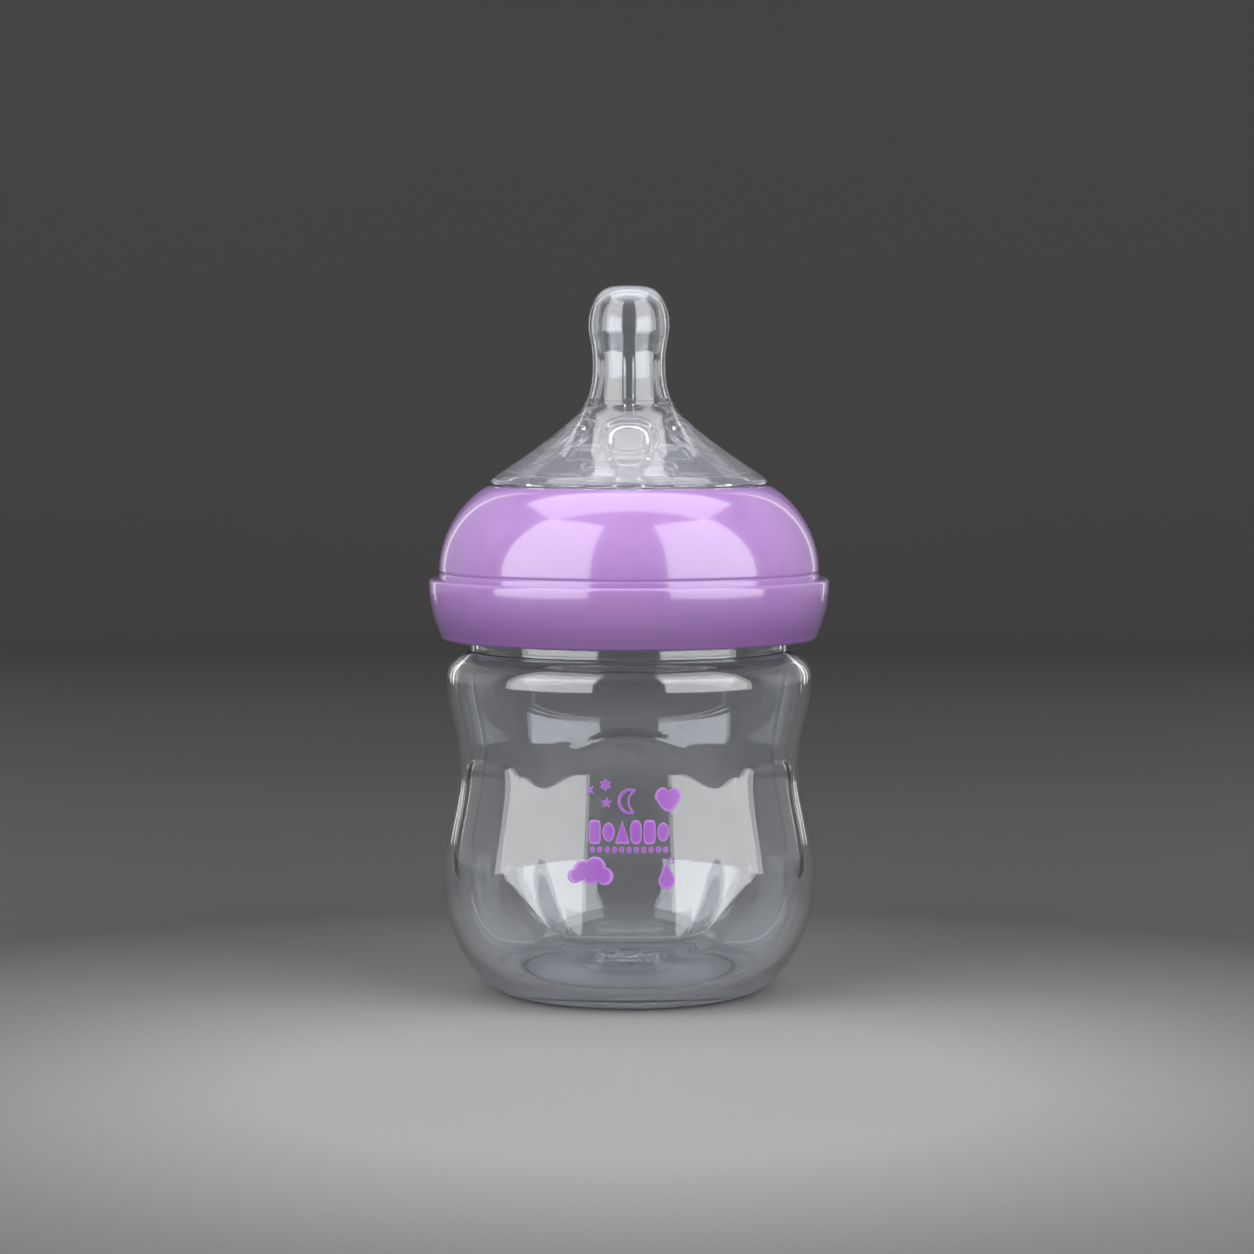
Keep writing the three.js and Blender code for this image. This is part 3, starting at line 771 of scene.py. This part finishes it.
def teat_path():
    """The teat's wall from its flange's foot, up through the groove and the bead, along the outside to the
    tip's hole, and back down the inside, where the mouldings stand and it is marked 1."""
    outer = teat_curve()
    heading = np.gradient(outer, axis=0)
    heading = heading / np.hypot(heading[:, 0], heading[:, 1])[:, None]
    inner = outer + TEAT_WALL * np.column_stack([-heading[:, 1], heading[:, 0]])
    inner[:, 0] = np.clip(inner[:, 0], TIP_HOLE_RADIUS, THROAT_RADIUS)
    inner = inner[(inner[:, 1] < TIP_HEIGHT - TEAT_WALL + 0.05) & (inner[:, 1] > BEAD_FOOT + 1.0)]
    flange = [
        (FLANGE_RADIUS + FLANGE_BEVEL, FLANGE_FOOT),
        (FLANGE_RADIUS, FLANGE_TOP),
        (GROOVE_RADIUS, FLANGE_TOP),
        (GROOVE_RADIUS, BEAD_FOOT),
        (BEAD_RADIUS - BEAD_ROUND, BEAD_FOOT),
        (BEAD_RADIUS, BEAD_FOOT + BEAD_ROUND),
    ]
    tip_hole = (TIP_HOLE_RADIUS, TIP_HEIGHT - TEAT_WALL)
    throat = (THROAT_RADIUS, BEAD_FOOT + 0.8)
    stretches = [marked(flange, 0), marked(outer, 0), marked(tip_hole, 0)]
    stretches += [marked(inner[::-1], 1), marked(throat, 1), marked((THROAT_RADIUS, FLANGE_FOOT), 0)]
    return np.vstack(stretches)


SLOPE = 1.5  # millimetres along the flare's wall for each millimetre of height
PETALS = 6
PETAL_MIDDLE = 97.2
PETAL_BOX = (5.4, 5.4, 4.8)  # this box and those below: half the width, half the height, corner radius
PETAL_RELIEF = 1.1
HOLLOW_DROP = 2.9  # from the petal's middle down to the middle of the hollow that makes it an arch
HOLLOW_BOX = (3.7, 6.2, 3.4)
PANEL_MIDDLE = 94.3
PANEL_BOX = (3.0, 1.9, 0.9)
PANEL_RELIEF = 0.6
RIB_FOOT = 100.2
RIB_TOP = 112.5
RIB_HALF_WIDTH = 0.95
RIB_RELIEF = 0.35
STEM_RING_HEIGHT = 103.2
STEM_RING_HALF_HEIGHT = 0.7
STEM_RING_RELIEF = 0.3
THICK_BULB_FOOT = 115.9
THICK_BULB_TOP = 121.0
THICK_BULB_RELIEF = 0.12
VENT_MIDDLE = 91.2
VENT_BOX = (8.2, 1.9, 1.8)
VENT_RELIEF = 0.45
VENT_BLOCK_MIDDLE = 90.5
VENT_BLOCK_BOX = (2.35, 1.2, 0.3)
VENT_BLOCK_RELIEF = 1.4
VENT_SLIT_BOX = (1.7, 0.18, 0.1)
VENT_SLIT_DEPTH = 1.2


def nearest(azimuth, count, offset=0.0):
    """The angle to the nearest of count directions that are spread evenly round the axis."""
    gap = FULL_TURN / count
    return np.mod(azimuth - offset + gap / 2, gap) - gap / 2


def teat_relief(azimuth, radius, height):
    """How thick the mouldings on the teat's inner wall are: six arches, flat panels between them, a rib up
    the stem over each arch, a ring low in the stem, a thicker bulb, and the vent with its slit."""
    up = (height - PETAL_MIDDLE) * SLOPE
    across = nearest(azimuth, PETALS) * radius
    petal = within(rounded_box(across, up, *PETAL_BOX), -1.8)
    hollow = within(rounded_box(across, up + HOLLOW_DROP, *HOLLOW_BOX), -1.3, 0.2)
    arches = PETAL_RELIEF * (petal - hollow)
    between = nearest(azimuth, PETALS, math.pi / PETALS) * radius
    panels = PANEL_RELIEF * within(rounded_box(between, (height - PANEL_MIDDLE) * SLOPE, *PANEL_BOX), -0.7)
    rib_length = smooth(height, RIB_FOOT, RIB_FOOT + 1.2) * within(height, RIB_TOP - 2, RIB_TOP)
    ribs = RIB_RELIEF * within(np.abs(across), 0.5, RIB_HALF_WIDTH) * rib_length
    ring = STEM_RING_RELIEF * within(np.abs(height - STEM_RING_HEIGHT), 0.1, STEM_RING_HALF_HEIGHT)
    bulb_rise = smooth(height, THICK_BULB_FOOT, THICK_BULB_FOOT + 0.5)
    bulb = THICK_BULB_RELIEF * bulb_rise * within(height, THICK_BULB_TOP - 2, THICK_BULB_TOP)
    round_front = azimuth * radius
    vent = VENT_RELIEF * within(rounded_box(round_front, height - VENT_MIDDLE, *VENT_BOX), -0.8)
    up_block = height - VENT_BLOCK_MIDDLE
    block = VENT_BLOCK_RELIEF * within(rounded_box(round_front, up_block, *VENT_BLOCK_BOX), -0.5, 0.1)
    slit = VENT_SLIT_DEPTH * within(rounded_box(round_front, up_block, *VENT_SLIT_BOX), -0.05, 0.2)
    return arches + panels + ribs + ring + bulb + vent + block - slit


def teat(material):
    """The teat as one closed wall, its mouldings standing in from its inner side."""
    path = rounded(teat_path(), 0.35, closed=True)

    def relief(azimuth, rows):
        out = normals_along(rows)
        side = np.clip(rows[:, 2:3], 0, 1)
        amount = teat_relief(azimuth, rows[:, :1], rows[:, 1:2]) * side
        return amount * out[:, :1], amount * out[:, 1:2]

    def finer(points):
        near_vent = (points[:, 2] > 0.3) & (np.abs(points[:, 1] - VENT_BLOCK_MIDDLE) < 1.6)
        return np.where(near_vent, 0.16, UNLIMITED)

    return turned("silicone_teat", path, 264, material, relief, widest=0.4, closed=True, finer=finer)


# ---------------------------------------------------------------- the printed picture

INK_HEIGHT = 0.06
INK_SINK = -0.3  # where the ink's underside lies, as a share of its height


def on_front(across, height, outer, lift):
    """Points on the front of the body at a distance across from its middle and a height, lifted off the
    wall by lift. The azimuth is found by three rounds of dividing across by the wall's radius."""
    bare = np.interp(height, outer[:, 1], outer[:, 0])
    azimuth = np.arcsin(np.clip(across / bare, -0.99, 0.99))
    for _ in range(3):
        radius = bare + body_relief(azimuth, height, bare)
        azimuth = np.arcsin(np.clip(across / radius, -0.99, 0.99))
    return around_axis(radius + lift, azimuth, height)


def ink_shape(edge, middle, outer, steps=120):
    """One printed shape as rings of points for a thin closed shell, and how near each point is to the rim.
    edge(angle) is the outline's distance from its middle at each angle. The rings run from the middle out
    over the ink, down its rounded rim and back under it."""
    angle = np.arange(steps) / steps * FULL_TURN
    shares = np.array([0.3, 0.6, 0.8, 0.9, 0.96, 1.0, 1.0, 0.9, 0.3])
    lifts = np.array([1, 1, 1, 0.97, 0.85, 0.5, INK_SINK, INK_SINK, INK_SINK])
    rims = np.array([0, 0.3, 0.75, 0.9, 0.96, 1, 1, 1, 0])
    reach = edge(angle) * shares[:, None]
    # rings turn the other way round, so that the ink's face points away from the bottle
    across = middle[0] - reach * np.cos(angle)
    grid = on_front(across, middle[1] + reach * np.sin(angle), outer, lifts[:, None] * INK_HEIGHT)
    poles = [on_front(*np.array(middle), outer, lift * INK_HEIGHT) for lift in (1, INK_SINK)]
    return grid, np.array(poles), np.concatenate([np.repeat(rims, steps), [0, 0]])


def ribbon(points, width, outer, steps=40):
    """A printed line of even width with round ends, along a smooth curve through the points. Its cross
    section is a low arch, closed underneath."""
    middle = spline(points, steps)
    along = np.gradient(middle, axis=0)
    along = along / np.hypot(along[:, 0], along[:, 1])[:, None]
    side = np.column_stack([-along[:, 1], along[:, 0]])
    taper = np.sqrt(np.clip(1 - np.linspace(-1, 1, steps) ** 8, 0.02, 1)) * width / 2
    section = np.array([-1, -0.85, -0.4, 0.4, 0.85, 1, 1, -1])
    lift = np.array([0.4, 0.9, 1, 1, 0.9, 0.4, INK_SINK, INK_SINK]) * INK_HEIGHT
    across = middle[:, :1] + side[:, :1] * section * taper[:, None]
    up = middle[:, 1:2] + side[:, 1:2] * section * taper[:, None]
    grid = on_front(across, up, outer, lift[None, :])
    poles = [on_front(middle[k, 0], middle[k, 1], outer, 0.3 * INK_HEIGHT) for k in (0, -1)]
    return grid, np.array(poles), np.concatenate([np.tile(np.abs(section), steps), [1, 1]])


def printed(name, shapes, material):
    """Several ink shapes as one piece."""
    points, faces, rims = [], [], []
    for grid, poles, rim in shapes:
        first = sum(len(part) for part in points)
        part, sides = shell(grid, poles, first)
        points.append(part)
        faces += sides
        rims.append(rim)
    return new_mesh(name, np.vstack(points), faces, material, np.concatenate(rims))


def polar_polygon(corners):
    """The outline of a polygon round its middle: for each angle, how far out its ray meets a side."""
    corners = np.asarray(corners, float)
    after = np.roll(corners, -1, axis=0)

    def edge(angle):
        ray = np.column_stack([np.cos(angle), np.sin(angle)])
        side = after - corners
        cross = ray[:, None, 0] * side[None, :, 1] - ray[:, None, 1] * side[None, :, 0]
        cross = np.where(np.abs(cross) < 1e-9, 1e-9, cross)
        reach = (corners[:, 0] * side[:, 1] - corners[:, 1] * side[:, 0])[None, :] / cross
        along = (corners[None, :, 0] * ray[:, None, 1] - corners[None, :, 1] * ray[:, None, 0]) / cross
        hit = (along >= -1e-6) & (along <= 1 + 1e-6) & (reach > 0)
        return np.where(hit, reach, np.inf).min(axis=1)

    return edge


def star(points, reach, waist, turn=0.0):
    """A star's outline: corners at reach and at waist in turn."""
    angle = turn + QUARTER_TURN + np.arange(2 * points) * math.pi / points
    far = np.where(np.arange(2 * points) % 2 == 0, reach, waist)
    return polar_polygon(np.column_stack([far * np.cos(angle), far * np.sin(angle)]))


def circles(*rounds):
    """The outline of several circles run together, each given by its middle and radius: the furthest that
    a ray reaches in any of them."""

    def edge(angle):
        reach = np.zeros_like(angle)
        for x, y, radius in rounds:
            along = x * np.cos(angle) + y * np.sin(angle)
            inside = radius**2 - (x**2 + y**2 - along**2)
            reach = np.maximum(reach, np.where(inside > 0, along + np.sqrt(np.maximum(inside, 0)), 0))
        return reach

    return edge


def block(half_width, half_height, power):
    """A rounded block's outline, a superellipse."""

    def edge(angle):
        across = np.abs(np.cos(angle) / half_width)
        up = np.abs(np.sin(angle) / half_height)
        return (across**power + up**power) ** (-1 / power)

    return edge


def heart(size):
    """A heart's outline, seen from its middle: a circle's distance, longer to each side of the top, short
    at the notch and drawn to a point at the foot."""

    def edge(angle):
        up = np.sin(angle)
        notch = np.exp(-(((angle - QUARTER_TURN) / 0.42) ** 2))
        point = np.exp(-(((angle - 3 * QUARTER_TURN) / 0.55) ** 2))
        return size * (1 + 0.16 * np.abs(np.cos(angle)) * (up > -0.2) - 0.42 * notch + 0.24 * point)

    return edge


def triangle(half_width, half_height):
    """A triangle's outline with its point up."""
    return polar_polygon([(half_width, -half_height), (0, half_height), (-half_width, -half_height)])


def printed_picture(material, outer):
    """Stars, a moon, a heart, a row of toy blocks over a row of dots, a cloud and a drop with a curl."""
    stars = [
        ink_shape(star(6, 1.15, 0.6), (-4.0, 39.4), outer),
        ink_shape(star(4, 1.0, 0.34, math.pi / 4), (-6.6, 38.55), outer),
        ink_shape(star(5, 1.0, 0.42), (-3.8, 36.4), outer),
    ]
    square, disc = block(0.98, 2.05, 5.0), block(1.02, 1.6, 2.0)
    row = [square, disc, triangle(1.25, 1.95), block(0.98, 2.05, 2.6), square, disc]
    blocks = [ink_shape(edge, ((number - 2.5) * 2.3, 31.5), outer) for number, edge in enumerate(row)]
    dot = block(0.4, 0.5, 2.5)
    dots = [ink_shape(dot, (number * 1.23, 28.55), outer, 24) for number in range(-5, 6)]
    cloud = circles((-2.3, -0.8, 1.5), (-0.7, 0.7, 1.8), (1.4, 0.2, 1.6), (2.7, -0.8, 1.25), (0, -1.1, 1.2))
    drop = circles((0, -0.9, 1.4), (0, 0.1, 0.98), (0, 0.9, 0.62), (0.05, 1.5, 0.4))
    hook = [(6.4, 25.4), (6.45, 26.4), (6.8, 27.0), (7.35, 27.0), (7.5, 26.5), (7.15, 26.3)]
    crescent_back = [(1.1, 38.5), (-0.4, 38.5), (-1.5, 37.5), (-1.6, 36.1), (-0.7, 34.9), (0.8, 34.7)]
    crescent_front = [(1.1, 38.5), (0.2, 37.7), (-0.1, 36.7), (0.1, 35.6), (0.8, 34.7)]
    shapes = {
        "printed_stars": stars,
        "printed_moon": [ribbon(crescent_back, 0.5, outer), ribbon(crescent_front, 0.34, outer)],
        "printed_heart": [ink_shape(heart(1.95), (6.6, 37.3), outer)],
        "printed_blocks": blocks,
        "printed_dots": dots,
        "printed_cloud": [ink_shape(cloud, (-6.4, 24.9), outer, 160)],
        "printed_drop": [ink_shape(drop, (6.35, 24.2), outer), ribbon(hook, 0.3, outer)],
    }
    return [printed(name, parts, material) for name, parts in shapes.items()]


# ---------------------------------------------------------------- stage, light and camera


def studio_sweep(material):
    """A round floor that curves up into a wall on every side."""
    floor_radius, bend_radius, wall_top = 850, 400, 1700
    flat = np.column_stack([np.linspace(8, floor_radius - 20, 50), np.zeros(50)])
    bend = arc((floor_radius, bend_radius), (bend_radius, bend_radius), -QUARTER_TURN, 0, 24)
    path = np.vstack([[(0.5, 0)], flat, bend, [(floor_radius + bend_radius, wall_top)]])
    columns = 96
    azimuth = np.arange(columns) / columns * FULL_TURN
    points = around_axis(path[:, :1], azimuth[None, :], path[:, 1:2]).reshape(-1, 3)
    points = np.vstack([points, [0, 0, 0]])
    faces = [face[::-1] for face in quads(len(path), columns)]
    ring = np.arange(columns)
    faces += np.column_stack([np.full(columns, len(points) - 1), ring, np.roll(ring, -1)]).tolist()
    return new_mesh("studio_sweep", points, faces, material)


def area_light(name, width, height, radiance):
    """A rectangular light that the camera doesn't see. Its power is radiance times pi times its area."""
    light = bpy.data.lights.new(name, "AREA")
    light.shape = "RECTANGLE"
    light.size = width
    light.size_y = height
    light.energy = radiance * math.pi * width * height
    lamp = bpy.data.objects.new(name, light)
    lamp.visible_camera = False
    bpy.context.scene.collection.objects.link(lamp)
    return lamp


def softbox(name, facing, distance, inner_edge, outer_edge, height, radiance):
    """An upright light that stands on the floor. Its plane is at a distance in metres from the axis and
    faces it from an azimuth in degrees. Its edges are given along the plane, outwards from the foot of
    that distance."""
    lamp = area_light(name, outer_edge - inner_edge, height, radiance)
    turn = math.radians(facing)
    outward = (inner_edge + outer_edge) / 2 * math.copysign(1, facing)
    across = distance * math.sin(turn) + outward * math.cos(turn)
    along = -distance * math.cos(turn) + outward * math.sin(turn)
    lamp.location = (across, along, height / 2)
    lamp.rotation_euler = (QUARTER_TURN, 0, turn)


def studio():
    """Two tall softboxes in front, two narrow strips behind, two dim panels beside them, one softbox
    overhead, and a dim room."""
    for side, name in ((-1, "left"), (1, "right")):
        softbox("softbox_" + name, 41 * side, 0.5, -0.168, 0.41, 0.925, radiance=4.2)
        softbox("strip_" + name, 147 * side, 0.6, -0.014, 0.014, 0.75, radiance=1.6)
        softbox("panel_" + name, 125 * side, 0.75, -0.48, 0.48, 0.8, radiance=0.26)
    area_light("softbox_top", 0.95, 0.45, radiance=2.9).location = (0, 0.06, 0.75)
    world = bpy.data.worlds.new("dim_room")
    world.use_nodes = True
    world.node_tree.nodes["Background"].inputs["Color"].default_value = (0.05, 0.05, 0.052, 1)
    bpy.context.scene.world = world


def portrait_camera():
    """A long lens in front, about as high as the top of the teat's flare and looking slightly down."""
    camera = bpy.data.objects.new("camera", bpy.data.cameras.new("camera"))
    camera.data.lens = 100
    camera.data.sensor_width = 36
    camera.location = (-0.00035, -0.611, 0.104)
    camera.rotation_euler = (QUARTER_TURN - math.radians(3.73), 0, 0)
    bpy.context.scene.collection.objects.link(camera)
    bpy.context.scene.camera = camera


portrait_camera()
studio()
bpy.context.scene.view_settings.view_transform = "Standard"

body, body_outline = clear_body(clear_plastic())
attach(body, "bottle")
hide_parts("bottle_body")

collar = screw_collar(lilac_plastic())
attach(collar, "collar")
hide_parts("screw_collar")

nipple = teat(silicone())
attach(nipple, "teat")
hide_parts("teat")

for shape in printed_picture(printing_ink(), body_outline):
    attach(shape, "bottle")

floor = studio_sweep(studio_paper())
